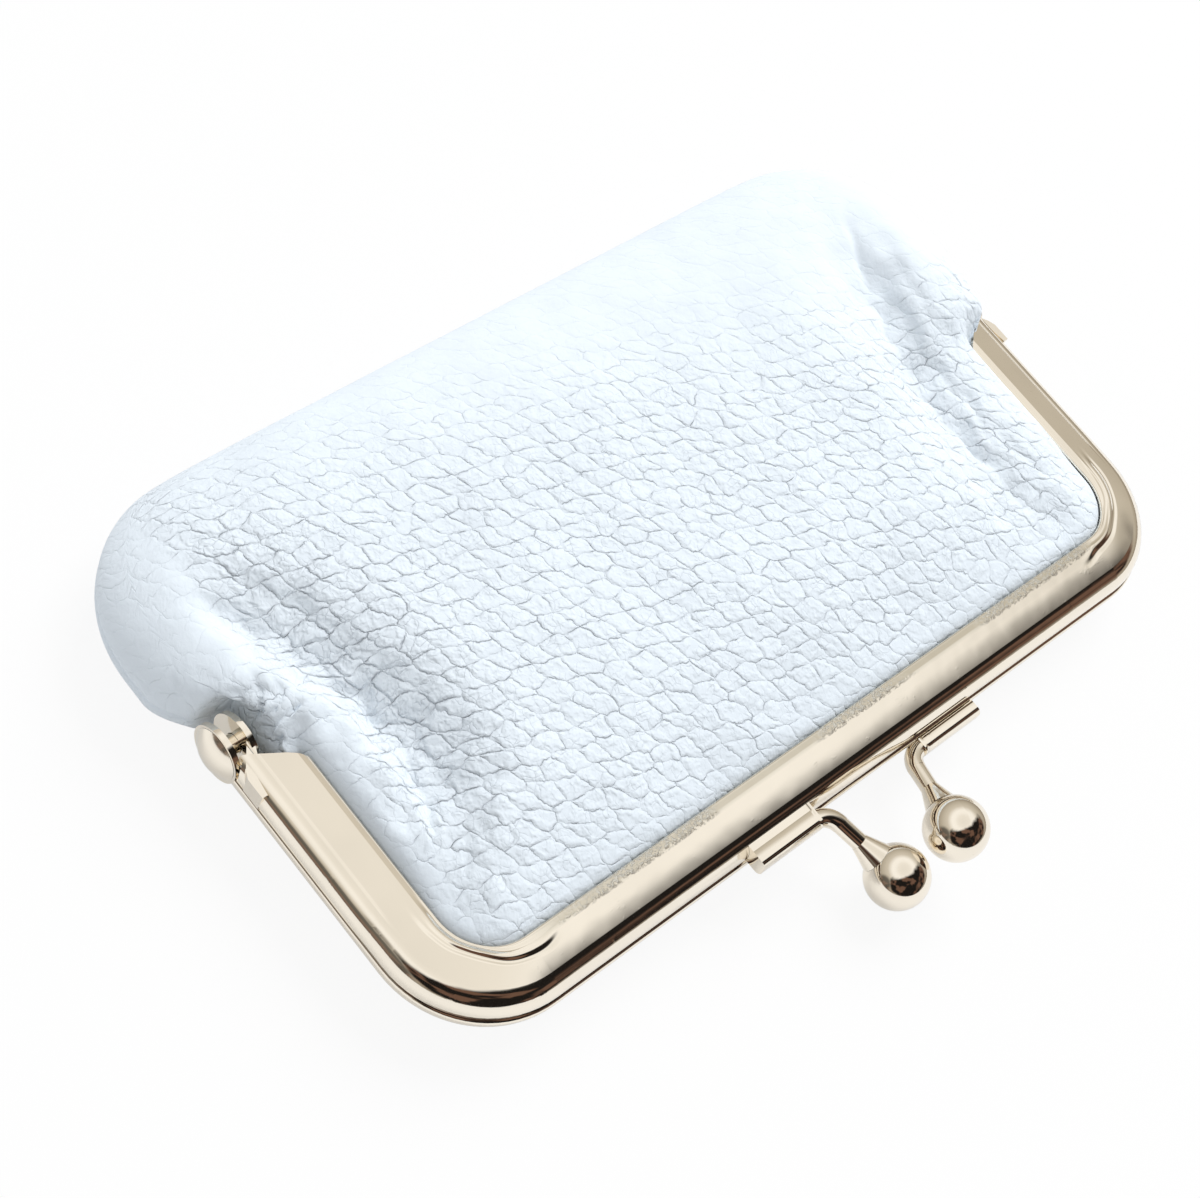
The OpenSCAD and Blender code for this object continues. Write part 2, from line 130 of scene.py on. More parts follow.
# Leather in millimetres: rise beside the frame's lip, extra rise along the right leg and where
# that starts, how far in the dome of each panel reaches its full height, the back's extra
# depth and the pinch at the seam, and the number of waves that make a surface uneven
LIP_HUG = 1.2
LEG_PUFF = 1.5
PUFF_X = 34.0
FRONT_RISE = 18.5
BACK_RISE = 8.0
BACK_PLUMP = 1.0
SEAM_PINCH = 0.4
WAVES = 9

# Valleys' two slopes, left and right of the line, in millimetres, and their shares of the depth
LEFT_SLOPES = (3.2, 4.4)
RIGHT_SLOPES = (5.0, 2.9)
LEFT_DEPTH = 1.2
RIGHT_DEPTH = 1.15

# Gathers behind each ear in millimetres: their middle, reach, and depths left and right, and
# how close and how narrow the creases are
EAR_X = 49.5
EAR_Y = -1.5
GATHER_REACH = 5.0
GATHER_DEPTHS = {-1: 0.8, 1: 0.3}
GATHER_TURNS = 5.5
GATHER_WIDTH = 0.42

# Front leather in millimetres: how far its lines wander, the height, seed and length of each
# set of waves, and the place, reach and height of the swelling beside the right ear
WANDER = 0.45
UNEVEN = ((0.12, 4, 13.0), (0.05, 5, 5.0))
SWELL_PLACE = (46.0, 2.5)
SWELL_REACH = (5.0, 8.0)
SWELL_HEIGHT = 0.9

# Grain over a panel: where it starts to fade towards the rolls and the far edge, over how many
# millimetres and by what share, then its fade along the left crest and its strength elsewhere
ROLL_FADE = (42.0, 5.0, 0.75)
FAR_FADE = (2.0, 19.0, 0.9)
CREST_FADE = 0.85
CREST_WIDTH = 2.7
VALLEY_GRAIN = 0.6
GATHER_GRAIN = 0.9

# Corners across and down the panels' grids
FRONT_GRID = (280, 164)
BACK_GRID = (200, 150)
LINING_GRID = (120, 84)

# Leather's grain: direction of its rows, stretch along and across, and the small cells' scale
GRAIN_AXIS = (0.75, 0.66)
GRAIN_LENGTH = 1.5
GRAIN_WIDTH = 1.2
SMALL_CELLS = 2.1

# Marks in the metal: millimetres in from the frame's outer edge, and the clasp arms' feet
LEG_LINE_U = 2.05
DISH_U = 3.8
FOOT_X = (box_mm("front_clasp_arm")[0][0] + box_mm("back_clasp_arm")[1][0]) / 2
FOOT_Y = -36.72
FOOT_HALF_W = 0.95
# Painted reflection: darker tint for the bar's inner bevel strip, standing in for what the bevel
# mirrors; then the worn specks' colour
STRIP_PAINTED_REFLECTION = (0.60, 0.57, 0.47)
BRIGHT_SPECKS = (0.86, 0.85, 0.80)

# Height of one unit of each finish in millimetres, and the units that round an edge
LEATHER_BUMP = 0.22
METAL_BUMP = 0.03
ROUNDING = 9.0

# Scale at which a wave texture has one band in a unit
BAND_SCALE = 0.314

# Shift of the grain's pattern on the back, in millimetres
BACK_GRAIN_SHIFT = 90.0

# Lining's thickness and its gaps from the leather's outer face, in millimetres
LINING_T = 0.25
LINING_GAP = 1.0
LOOSE_GAP = 0.55

# Where a bend of the front panels along the hinge would start and end, as y and z in millimetres;
# the panels are not bent
BEND_START = (2.0, PARTING)
BEND_END = (2.0 - 4.71, PARTING + 4.05)

# Tubes in millimetres: length of a ring, reach of the tangent and weld distance
TUBE_STEP = 0.35
TUBE_REACH = 0.05
WELD = 0.002

# Cords and threads in millimetres: radius, strands, the pitch of their twist, and the seams
CORD_R = 0.5
CORD_STRANDS = 2
CORD_PITCH = 3.2
CORD_END_Y = -6.2
BACK_CORD_SHIFT = 0.3
THREAD_STRANDS = 3
THREAD_PITCH = 1.1
THREAD_BOW = 0.04
LEATHER_THREAD_R = 0.22
LINING_THREAD_R = 0.14
LEATHER_SEAM_INSET = 1.27
LINING_SEAM_INSET = 2.0
SEAM_START_Y = 5.0
SEAM_POINTS = 400
STITCH = 2.2
STITCH_GAP = 0.9

# Stage: floor's gap below the part in millimetres, lamp in metres and watts, and soft light
WHITE = (1.0, 1.0, 1.0, 1.0)
RAYS = ("Is Camera Ray", "Is Glossy Ray", "Is Transmission Ray")
FLOOR_GAP = 0.1
LAMP_PLACE = (1.35, 0.45, 1.50)
LAMP_SIZE = (1.4, 1.4)
LAMP_POWER = 35.0
AMBIENT = 0.59

# Mirrored room: the sky's colours from its foot up, and the dark zones' places, edges and colours
SKY = (
    (0.0, (0.30, 0.26, 0.21)), (0.30, (0.50, 0.46, 0.39)), (0.60, (0.66, 0.62, 0.55)),
    (0.78, (1.0, 0.99, 0.97)), (0.87, (1.0, 0.99, 0.97)), (0.95, (0.90, 0.88, 0.84)),
    (1.0, (0.86, 0.84, 0.80)),
)
DARK_PLACE = (-0.13, -0.87, 0.465)
DARK_STRETCH = (0.47, 0.47, 1.12)
DARK_EDGE = (0.50, 0.60)
DIM_PLACE = (-0.98, 0.16, 0.12)
DIM_EDGE = (0.30, 0.52)
DIM_SHARE = 0.75
ROOM_BLACK = (0.012, 0.010, 0.009)
ROOM_BROWN = (0.15, 0.085, 0.06)

# Camera fitted to the photograph: place in metres, axes, lens and sensor in millimetres
CAMERA_PLACE = (-0.14314, -0.05886, 0.20618)
CAMERA_AXES = (
    (0.71535, 0.44310, -0.54031),
    (-0.62539, 0.75092, -0.21217),
    (0.31172, 0.48968, 0.81428),
)
CAMERA_LENS = 75.23
CAMERA_SENSOR = 36.0


def ease(v):
    """Smooth step from 0 to 1."""
    c = np.clip(v, 0.0, 1.0)
    return c * c * (3.0 - 2.0 * c)


def mixed(a, b, k):
    return a + (b - a) * k


def faded(v, start, run, share):
    """1 as far as start, then less by a share over a run."""
    return 1.0 - share * ease((v - start) / run)


def arc(r, d):
    return np.sqrt(np.maximum(0.0, r * r - d * d))


def in_channel(y):
    """Half width of the leather held in the frame's channel."""
    bend = CORNER_X + arc(CORNER_R - LEATHER_U, np.minimum(y - CORNER_Y, 0.0))
    return np.where(y < CORNER_Y, bend, HALF_W - LEATHER_U)


def pouch_width(y):
    """Half width of the pouch, rounded at its bottom corners."""
    rounded = SIDE_W - BOTTOM_R + arc(BOTTOM_R, np.maximum(y - BOTTOM_Y, 0.0))
    return np.where(y > BOTTOM_Y, rounded, SIDE_W)


def roll_width(y, hinge):
    """Half width of a side roll that runs from the channel past the ear into the pouch."""
    width, start, stop = hinge
    at_hinge = mixed(in_channel(y), width, ease((y - LIP_END_Y) / 3.0))
    return mixed(at_hinge, pouch_width(y), ease((y - start) / (stop - start)))


def seam_edge(y):
    """Half width at the seam: in the channel, notched at the ear, down the pouch."""
    narrowing = mixed(in_channel(y), NOTCH_W, ease((y - LIP_END_Y) / 1.2))
    return mixed(narrowing, roll_width(y, SEAM_HINGE), ease((y - EAR_CLEAR) / 0.4))


def inside_lip(x, y):
    """How far a point lies inside the opening that the frame's lip leaves."""
    qx = np.abs(x) - CORNER_X
    qy = CORNER_Y - y
    outside = np.hypot(np.maximum(qx, 0), np.maximum(qy, 0))
    return CORNER_R - LIP_W - outside - np.minimum(np.maximum(qx, qy), 0)


def line_distance(x, y, points):
    """Distance from a run of line pieces, and how far along the run the nearest point is."""
    best = np.full(x.shape, 1e9)
    where = np.zeros(x.shape)
    runs = [math.dist(a, b) for a, b in zip(points, points[1:])]
    total = sum(runs)
    done = 0.0
    for (ax, ay), (bx, by), run in zip(points, points[1:], runs):
        t = np.clip(((x - ax) * (bx - ax) + (y - ay) * (by - ay)) / (run * run), 0, 1)
        d = np.hypot(x - ax - t * (bx - ax), y - ay - t * (by - ay))
        near = d < best
        best = np.where(near, d, best)
        where = np.where(near, (done + t * run) / total, where)
        done += run
    return best, where


def valley(x, y, points, slopes, depth):
    """A valley whose two slopes, left and right of its line, differ in width."""
    d, along = line_distance(x, y, points)
    run = sorted(points, key=lambda point: point[1])
    line_x = np.interp(y, [point[1] for point in run], [point[0] for point in run])
    width = np.where(x < line_x, slopes[0], slopes[1])
    return -depth * np.exp(-((d / width) ** 2)) * ease(along / 0.3) * ease((1.0 - along) / 0.3)


def crease(x, y, points, width, depth):
    """A soft groove along a run of points, tapering at both ends."""
    d, along = line_distance(x, y, points)
    taper = ease(along / 0.25) * ease((1.0 - along) / 0.25)
    return -depth * np.exp(-((d / width) ** 2)) * taper


def waves(x, y, seed, length):
    """Gentle unevenness about one millimetre high, as a sum of slanted waves."""
    rng = np.random.default_rng(seed)
    total = np.zeros(x.shape)
    for _ in range(WAVES):
        angle = rng.uniform(0, math.pi)
        k = 2 * math.pi / (length * rng.uniform(0.7, 1.5))
        total += np.sin(k * (x * math.cos(angle) + y * math.sin(angle)) + rng.uniform(0, 6.3))
    return total / math.sqrt(WAVES)


# Valleys' lines in the front leather, and the top of the left roll, where it is stretched smooth
LEFT_VALLEY = [(-49.5, 16.5), (-46.2, 11.0), (-42.6, 3.5), (-40.2, -2.0), (-38.6, -8.7),
               (-39.4, -13.0), (-42.0, -18.1), (-46.0, -22.5)]
RIGHT_VALLEY = [(45.6, 18.0), (41.9, 11.4), (38.6, 4.0), (35.8, -4.5), (35.0, -12.5),
                (35.4, -18.4), (37.4, -24.5), (41.9, -29.0)]
LEFT_CREST = [(-53.0, 13.5), (-51.2, 9.7), (-48.2, 4.9), (-44.8, -2.2), (-44.2, -7.0)]

# Thin fold lines in the front leather: points, width and depth
FOLD_LINES = (
    ([(-47.4, 14.0), (-44.2, 8.1), (-42.3, 3.5), (-41.1, 0.2), (-39.6, -4.1),
      (-38.4, -8.7)], 0.55, 0.22),
    ([(-42.0, 1.0), (-39.8, -2.0), (-39.0, -5.7), (-38.2, -8.7), (-38.0, -11.7),
      (-36.8, -14.1)], 0.5, 0.25),
    ([(-45.2, 16.2), (-43.2, 12.9), (-41.5, 9.7), (-39.4, 5.0), (-36.6, -0.5),
      (-35.8, -4.5)], 0.6, 0.20),
    ([(-40.6, 0.7), (-40.1, -1.5), (-39.5, -4.7), (-39.2, -10.3), (-40.9, -15.2),
      (-43.2, -19.5)], 0.5, 0.28),
    ([(-40.6, -13.5), (-41.5, -17.0), (-43.2, -19.0), (-46.2, -20.6)], 0.4, 0.18),
    ([(-39.6, -18.7), (-42.0, -22.2), (-46.2, -24.0)], 0.4, 0.16),
    ([(-42.2, -12.8), (-44.9, -17.8), (-47.4, -19.4)], 0.4, 0.16),
    ([(-38.9, -18.7), (-40.0, -24.4), (-39.1, -28.2)], 0.4, 0.14),
    ([(-49.2, -0.2), (-48.6, -1.9), (-47.2, -2.5), (-46.4, -3.6), (-46.6, -4.9)], 0.5, 0.7),
    ([(-49.0, 1.3), (-48.4, -0.2), (-47.0, -1.2), (-45.2, -1.6)], 0.5, 0.6),
    ([(-50.0, 3.6), (-49.0, 1.9), (-47.4, 0.8), (-45.4, 0.6)], 0.55, 0.5),
    ([(-54.0, 4.0), (-53.2, 5.6), (-52.4, 7.6)], 0.4, 0.25),
    ([(-52.4, 3.6), (-51.4, 5.0), (-50.0, 5.8)], 0.45, 0.25),
    ([(-47.6, -4.9), (-45.9, -6.6), (-44.9, -8.6)], 0.4, 0.20),
    ([(44.8, 17.2), (42.4, 12.4), (39.6, 7.4), (38.1, 3.0), (35.6, -2.6),
      (35.7, -6.8)], 0.55, 0.30),
    ([(35.9, -4.0), (35.7, -8.8), (34.6, -12.5), (35.4, -16.0), (35.4, -20.4), (36.0, -23.7),
      (40.9, -28.5)], 0.5, 0.22),
    ([(39.6, 7.4), (40.0, 2.1), (38.9, -2.5), (38.5, -6.3), (38.9, -11.5),
      (38.4, -14.2)], 0.55, 0.30),
    ([(38.6, -8.3), (38.9, -11.5), (38.2, -16.2), (40.3, -20.8), (43.9, -23.2)], 0.5, 0.28),
    ([(43.6, 8.4), (42.4, 4.0), (41.6, -1.6), (42.6, -6.4)], 0.5, 0.20),
    ([(49.2, -0.6), (47.8, -1.9), (45.6, -2.6), (43.6, -2.4)], 0.5, 0.30),
    ([(49.0, 2.0), (47.4, 1.4), (45.0, 1.8)], 0.5, 0.25),
    ([(45.8, -8.5), (43.6, -11.5), (42.6, -15.5)], 0.45, 0.20),
)


def gathers(x, y, side):
    """Creases that spread from behind the left (-1) or right (1) ear."""
    r = np.hypot(x - side * EAR_X, y - EAR_Y)
    turn = np.arctan2(y - EAR_Y, (side * EAR_X - x) * side)
    sway = 0.7 * np.sin(r * 0.9 + side)
    phase = turn * GATHER_TURNS + sway + 0.5 * waves(x, y, 23, 4.0)
    folds = np.exp(-((np.sin(phase) / GATHER_WIDTH) ** 2))
    reach = ease((r - 0.5) / 1.6) * np.exp(-((r / GATHER_REACH) ** 4))
    return -GATHER_DEPTHS[side] * folds * reach


def front_relief(x, y, depth):
    """Valleys, side rolls, fold lines, gathers and unevenness of the front panel."""
    wobble_x = x + WANDER * waves(x, y, 21, 5.0)
    wobble_y = y + WANDER * waves(x, y, 22, 5.0)
    z = valley(wobble_x, wobble_y, LEFT_VALLEY, LEFT_SLOPES, depth * LEFT_DEPTH)
    z = z + valley(wobble_x, wobble_y, RIGHT_VALLEY, RIGHT_SLOPES, depth * RIGHT_DEPTH)
    for rise, seed, length in UNEVEN:
        z = z + rise * waves(x, y, seed, length)
    for points, width, fold_depth in FOLD_LINES:
        z = z + crease(wobble_x, wobble_y, points, width, fold_depth)
    from_x = (x - SWELL_PLACE[0]) / SWELL_REACH[0]
    from_y = (y - SWELL_PLACE[1]) / SWELL_REACH[1]
    swell = SWELL_HEIGHT * np.exp(-from_x ** 2 - from_y ** 2)
    return z + swell + gathers(x, y, -1) + gathers(x, y, 1)


def back_relief(x, y):
    """The back panel lies flat on the table, so only its rim is uneven."""
    return 0.05 * waves(x, y, 9, 15.0)


def pinched(x, y, z, amount):
    """Pulls the leather in at the seam, where the two panels meet edge to edge."""
    out_x = np.clip(np.abs(x) - (SIDE_W - BOTTOM_R), 0, None)
    out_y = np.clip(y - BOTTOM_Y, 0, None)
    out_x = np.where((out_y == 0) & (out_x == 0), 1.0, out_x)
    size = np.hypot(out_x, out_y)
    near = amount * (1 - np.clip(z / 0.9, 0, 1)) ** 2
    return x - np.sign(x) * near * out_x / size, y - near * out_y / size


def panel_places(s, t, hinges):
    """Share of the half width, x and y of a panel's corners, from their places in the grid."""
    q = np.abs(np.sin(s * math.pi / 2))
    straight_end = POUCH_LEN - END_RUN
    low = mixed(BAR_Y + LEATHER_U, straight_end, t / ROWS_TO_END)
    past = np.clip((t - ROWS_TO_END) / (1 - ROWS_TO_END), 0, 1)
    high = mixed(straight_end, POUCH_LEN, np.sin(past * math.pi / 2))
    y = np.where(t < ROWS_TO_END, low, high)
    wide = np.where(s < 0, roll_width(y, hinges[0]), roll_width(y, hinges[1]))
    edge = np.minimum(seam_edge(y), wide)
    half = mixed(wide, edge, ease((q - SEAM_SHARE) / (1 - SEAM_SHARE)))
    return q, q * half, y


def height_in_frame(x, y, full, puff, rise):
    """Height of a panel in the frame: up from the channel, beside the lip, then a dome."""
    lip = inside_lip(x, y)
    puff = puff * ease((x - PUFF_X) / 9.0) * ease((y - CORNER_Y) / 8.0)
    hug = LIP_HUG * (1.0 - np.exp(-np.maximum(lip + 0.2, 0) / 0.38))
    hug = hug + puff * (1.0 - np.exp(-np.maximum(lip, 0) / 1.1))
    dome = np.sin(np.clip((lip - 0.1) / rise, 0, 1) * math.pi / 2)
    return CHANNEL_Z + hug + (full - CHANNEL_Z - LIP_HUG - puff) * dome


def clear_of_ear(x, y, z):
    """Keeps a panel's side off the rivet's tail and the ear."""
    from_ear = np.hypot(np.maximum(y, 0), z)
    beside = mixed(NOTCH_W, EAR_W, ease((from_ear - RIVET_CLEAR) / 0.4))
    free = mixed(beside, NO_LIMIT, ease((from_ear - EAR_CLEAR) / 0.45))
    return mixed(x, np.minimum(x, free), ease((y - LIP_END_Y) / 1.2))


def panel_points(s, t, full, puff, rise, relief, hinges):
    """Outer face of a panel above the parting plane, as points in millimetres."""
    q, x, y = panel_places(s, t, hinges)
    side_form = np.sqrt(np.maximum(0, 1 - q ** np.where(s < 0, LEFT_POWER, RIGHT_POWER)))
    down = np.clip((y - END_START) / (POUCH_LEN - END_START), 0, 1)
    pouch_form = side_form * np.sqrt(np.maximum(0, 1 - down ** END_POWER))
    to_pouch = ease((y + 5.6) / 4.2)
    z = mixed(height_in_frame(x, y, full, puff, rise), full * pouch_form, to_pouch)
    fade = mixed(ease(inside_lip(x, y) / 2.5), ease(pouch_form / 0.6), to_pouch)
    uneven = relief(np.sign(s) * x, y)
    lean = ease((q - 0.84) / 0.12) * to_pouch
    z = z + uneven * fade * (1 - lean)
    x = x + 0.8 * uneven * lean * ease((1 - q) / 0.03)
    x = clear_of_ear(x, y, z)
    x, y = pinched(np.sign(s) * x, y, z, SEAM_PINCH * ease((y - 2.0) / 2.0))
    return x, y, z


def along_path(path):
    """Length along a path, or down each column of a grid, at each of its points."""
    steps = np.linalg.norm(np.diff(path, axis=0), axis=-1)
    return np.concatenate([np.zeros_like(steps[:1]), np.cumsum(steps, axis=0)])


def grain_place(points, across, down):
    """Place of each corner on the flattened panel, from lengths along its rows and columns."""
    order = np.lexsort((across, down))
    rows = len(np.unique(np.round(down, 5)))
    grid = points[order].reshape(rows, -1, 3)
    u = along_path(grid.swapaxes(0, 1))
    v = along_path(grid)
    place = np.zeros((len(points), 3))
    place[order, 0] = (u - u[len(u) // 2]).T.ravel()
    place[order, 1] = (v - v[len(v) // 2]).ravel()
    return place


def read_corners(piece, what="co"):
    """Places or normals of a piece's corners, one row each."""
    flat = np.zeros(len(piece.data.vertices) * 3)
    piece.data.vertices.foreach_get(what, flat)
    return flat.reshape(-1, 3)


def move_corners(piece, points):
    piece.data.vertices.foreach_set("co", points.ravel())
    piece.data.update()


def grid_piece(name, grid, shape, turned_over=False):
    """A grid whose corners are moved by shape, which gets places -1 to 1 across, 0 to 1 down."""
    bpy.ops.mesh.primitive_grid_add(x_subdivisions=grid[0], y_subdivisions=grid[1], size=2)
    piece = bpy.context.object
    piece.name = name
    piece.data.name = name
    flat = read_corners(piece)
    x, y, z = shape(flat[:, 0], (flat[:, 1] + 1) / 2)
    points = np.stack([x, y, PARTING + (-z if turned_over else z)], axis=1)
    move_corners(piece, points * MM)
    laid_out = grain_place(points, flat[:, 0], flat[:, 1])
    if turned_over:
        laid_out += (0.0, BACK_GRAIN_SHIFT, 0.0)
        piece.data.flip_normals()
    attribute = piece.data.attributes.new("grain_place", "FLOAT_VECTOR", "POINT")
    attribute.data.foreach_set("vector", laid_out.ravel())
    return piece


def select_only(*pieces):
    """Selects just these pieces and makes the first one active."""
    bpy.ops.object.select_all(action="DESELECT")
    for piece in pieces:
        piece.select_set(True)
    bpy.context.view_layer.objects.active = pieces[0]


def smooth(piece, degrees=50):
    select_only(piece)
    bpy.ops.object.shade_smooth_by_angle(angle=math.radians(degrees))


def thicken(piece, thickness):
    """Gives a sheet its thickness in metres, inwards from its outer face."""
    select_only(piece)
    sheet = piece.modifiers.new("Thickness", "SOLIDIFY")
    sheet.thickness = thickness
    sheet.offset = -1.0
    bpy.ops.object.modifier_apply(modifier=sheet.name)
    smooth(piece)


class Wire:
    """A socket's value, on which Python's operators add Math nodes."""

    def __init__(self, finish, socket):
        self.finish = finish
        self.socket = socket

    def math(self, operation, *values):
        return self.finish.math(operation, self, *values)

    def __add__(self, other):
        return self.math("ADD", other)

    __radd__ = __add__

    def __sub__(self, other):
        return self.math("SUBTRACT", other)

    def __rsub__(self, other):
        return self.finish.math("SUBTRACT", other, self)

    def __mul__(self, other):
        return self.math("MULTIPLY", other)

    def __truediv__(self, other):
        return self.math("DIVIDE", other)


class Finish:
    """A node tree of one material or of the world."""

    def __init__(self, tree):
        self.tree = tree
        self.tree.nodes.clear()

    def node(self, kind, values=None, output=0, stops=None, **settings):
        """Adds one node with its settings, then the values or wires of its sockets."""
        made = self.tree.nodes.new("ShaderNode" + kind)
        for key, value in settings.items():
            setattr(made, key, value)
        if stops:
            ramp = made.color_ramp
            while len(ramp.elements) < len(stops):
                ramp.elements.new(0.5)
            for element, (place, colour) in zip(ramp.elements, stops):
                element.position = place
                element.color = (*colour, 1.0)
        for key, value in (values or {}).items():
            if isinstance(value, Wire):
                self.tree.links.new(value.socket, made.inputs[key])
            else:
                made.inputs[key].default_value = value
        return Wire(self, made.outputs[output]) if made.outputs else made

    def math(self, operation, *values):
        return self.node("Math", dict(enumerate(values)), operation=operation)

    def vector(self, operation, *values, output=0):
        return self.node("VectorMath", dict(enumerate(values)), output=output, operation=operation)

    def step(self, value, low, high, to_low=0.0, to_high=1.0):
        """Smooth step of a value from one range to another."""
        values = {"Value": value, "From Min": low, "From Max": high,
                  "To Min": to_low, "To Max": to_high}
        return self.node("MapRange", values, interpolation_type="SMOOTHSTEP")

    def blend(self, factor, a, b):
        """Mix of two colours."""
        return self.node("Mix", {0: factor, 6: a, 7: b}, output=2, data_type="RGBA")

    def noise(self, vector, scale, detail=3.0, roughness=0.5, output="Fac"):
        values = {"Vector": vector, "Scale": scale, "Detail": detail, "Roughness": roughness}
        return self.node("TexNoise", values, output=output)

    def cells(self, vector, scale, randomness):
        """Distance from the nearest edge between flat cells."""
        values = {"Vector": vector, "Scale": scale, "Randomness": randomness}
        settings = {"voronoi_dimensions": "2D", "feature": "DISTANCE_TO_EDGE"}
        return self.node("TexVoronoi", values, **settings)

    def outputs(self, kind, *names, values=None):
        """One node's outputs, one wire each."""
        first = self.node(kind, values, output=names[0])
        return [Wire(self, first.socket.node.outputs[name]) for name in names]

    def clamp(self, value, low, high):
        return value.math("MAXIMUM", low).math("MINIMUM", high)

    def near(self, value, middle, width):
        """1 where the value is at its middle, falling to 0 at the width."""
        return 1.0 - self.step((value - middle).math("ABSOLUTE"), 0.0, width)

    def place(self):
        """Object coordinates in millimetres."""
        coordinates = self.node("TexCoord", output="Object")
        return self.node("VectorMath", {0: coordinates, "Scale": 1.0 / MM}, operation="SCALE")

    def bump(self, height, distance):
        """Normal of a height that is given in shares of distance, in millimetres."""
        return self.node("Bump", {"Height": height, "Distance": distance * MM})

    def surface(self, values):
        """Wires or sets the values on a shader, and wires the shader to the output."""
        shader = self.node("BsdfPrincipled", values, output="BSDF")
        self.node("OutputMaterial", {"Surface": shader})


def new_material(name):
    material = bpy.data.materials.new(name)
    material.use_nodes = True
    return material, Finish(material.node_tree)


def rgb(colour):
    return (*colour, 1.0)


def tinted(colour, factor):
    return (*(min(1.0, c * factor) for c in colour), 1.0)


def leather_pebbles(f, laid, grain_size):
    """Distances from the edges of the large rhombic cells and the small ones."""
    warp = f.noise(laid, 0.28, 2.0, output="Color")
    bent = f.vector("ADD", laid, f.vector("MULTIPLY", warp, (2.2, 1.8, 0.0)))
    jag = f.noise(laid, 1.5, 3.0, output="Color")
    bent = f.vector("ADD", bent, f.vector("MULTIPLY", jag, (0.55, 0.55, 0.0)))
    lie_axis = (GRAIN_AXIS[0] / GRAIN_LENGTH, -GRAIN_AXIS[1] / GRAIN_LENGTH, 0.0)
    rise_axis = (GRAIN_AXIS[1] * GRAIN_WIDTH, GRAIN_AXIS[0] * GRAIN_WIDTH, 0.0)
    lie = f.vector("DOT_PRODUCT", bent, lie_axis, output="Value")
    rise = f.vector("DOT_PRODUCT", bent, rise_axis, output="Value")
    half_turn = math.sqrt(0.5)
    slanted = f.node("CombineXYZ", {"X": (lie + rise) * half_turn, "Y": (lie - rise) * half_turn})
    small_place = f.vector("ADD", bent, (17.0, 31.0, 0.0))
    return (f.cells(slanted, 1.0 / grain_size, 0.5),
            f.cells(small_place, SMALL_CELLS / grain_size, 1.0))


def pebble(f, edge, steepness, power, width):
    """A pebble's rounded height and the crease round it, from the distance to its edge."""
    height = 1.0 - (1.0 - (edge * steepness).math("MINIMUM", 1.0)).math("POWER", power)
    return height, 1.0 - f.step(edge, 0.0, width)


def leather_material(name, colours, sizes):
    """Pebbled leather: slanted rows of rhombic pebbles parted by thin broken creases in painted
    shade.
    """
    material, f = new_material(name)
    place = f.place()
    laid = f.node("Attribute", output="Vector", attribute_name="grain_place")
    grain = f.node("Attribute", output="Fac", attribute_name="grain")
    large, small = leather_pebbles(f, laid, sizes.grain_size / MM)
    patches = f.step(f.noise(laid, 0.45, 2.0), 0.40, 0.62)
    broken = f.step(f.noise(laid, 0.8, 2.0), 0.38, 0.66, 0.05, 1.0)
    pillow, groove = pebble(f, large, 4.2, 2.4, 0.034)
    small_pillow, small_groove = pebble(f, small, 4.0, 2.0, 0.05)
    fine = f.noise(laid, 2.2, 4.0, 0.62)
    pores = f.noise(place, 7.5, 2.0, 0.6)
    height = pillow * (broken * 0.45 + 0.30) - groove * broken * 0.30
    height = height + (small_pillow * 0.10 - small_groove * 0.07) * (patches * 0.8 + 0.2)
    height = height * (grain * 0.9 + 0.1) + fine * 0.10 + pores * 0.03
    line = groove * broken * (grain * 0.85 + 0.15)
    small_line = small_groove * patches * grain
    cloud = f.step(f.noise(place, 0.06, 3.0), 0.35, 0.65)
    base = f.blend(cloud, tinted(colours.leather, 0.985), tinted(colours.leather, 1.01))
    # Painted shade: the large and small creases of the grain are darkened towards the leather's
    # painted shade colour.
    base = f.blend(line * 0.26, base, rgb(colours.leather_painted_shade))
    base = f.blend(small_line * 0.12, base, rgb(colours.leather_painted_shade))
    base = f.blend(f.step(fine, 0.55, 0.8) * 0.15, base, tinted(colours.leather, 0.94))
    rough = 0.50 + (1.0 - pillow) * 0.12 + fine * 0.08
    f.surface({"Base Color": base, "Roughness": rough, "Normal": f.bump(height, LEATHER_BUMP),
               "Specular IOR Level": 0.25})
    return material


def frame_marks(f, place):
    """Height of the creases pressed in the frame, its inner strip, which gets a painted
    reflection, and the worn specks on that strip.
    """
    x, y = f.outputs("SeparateXYZ", "X", "Y", values={"Vector": place})
    qx = x.math("ABSOLUTE") - CORNER_X
    qy = CORNER_Y - y
    out_x, out_y = qx.math("MAXIMUM", 0.0), qy.math("MAXIMUM", 0.0)
    outside = (out_x * out_x + out_y * out_y).math("SQRT")
    u = CORNER_R - outside - qx.math("MAXIMUM", qy).math("MINIMUM", 0.0)
    wavy = u + f.noise(place, 0.12, 1.0) * 2.4 - 1.2
    in_leg = f.step(y, CORNER_Y - 1.0, CORNER_Y + 5.0)
    in_corner = f.step(qx.math("MINIMUM", qy), -3.5, 1.0)
    leg_line = f.near(u, LEG_LINE_U, 0.16)
    crimp = f.near(wavy, 4.1, 0.5)
    second = f.near(wavy, 5.1, 0.4)
    height = 0.0 - leg_line * in_leg * 1.2 - (crimp * 4.0 + second * 3.0) * in_corner
    outward = f.clamp((DISH_U - u) / DISH_U, 0.0, 1.0)
    height = height - outward * outward * (1.0 - in_leg) * ROUNDING
    on_bar = (1.0 - f.step(y, BAR_Y + 6.5, BAR_Y + 9.0)) * (1.0 - in_corner)
    specks = f.step(f.noise(place, 2.4, 4.0, 0.75), 0.46, 0.60)
    stretch = f.step(f.noise(place, 0.11, 1.0), 0.42, 0.60)
    return height, f.step(u, 4.5, 5.0) * on_bar, specks * stretch


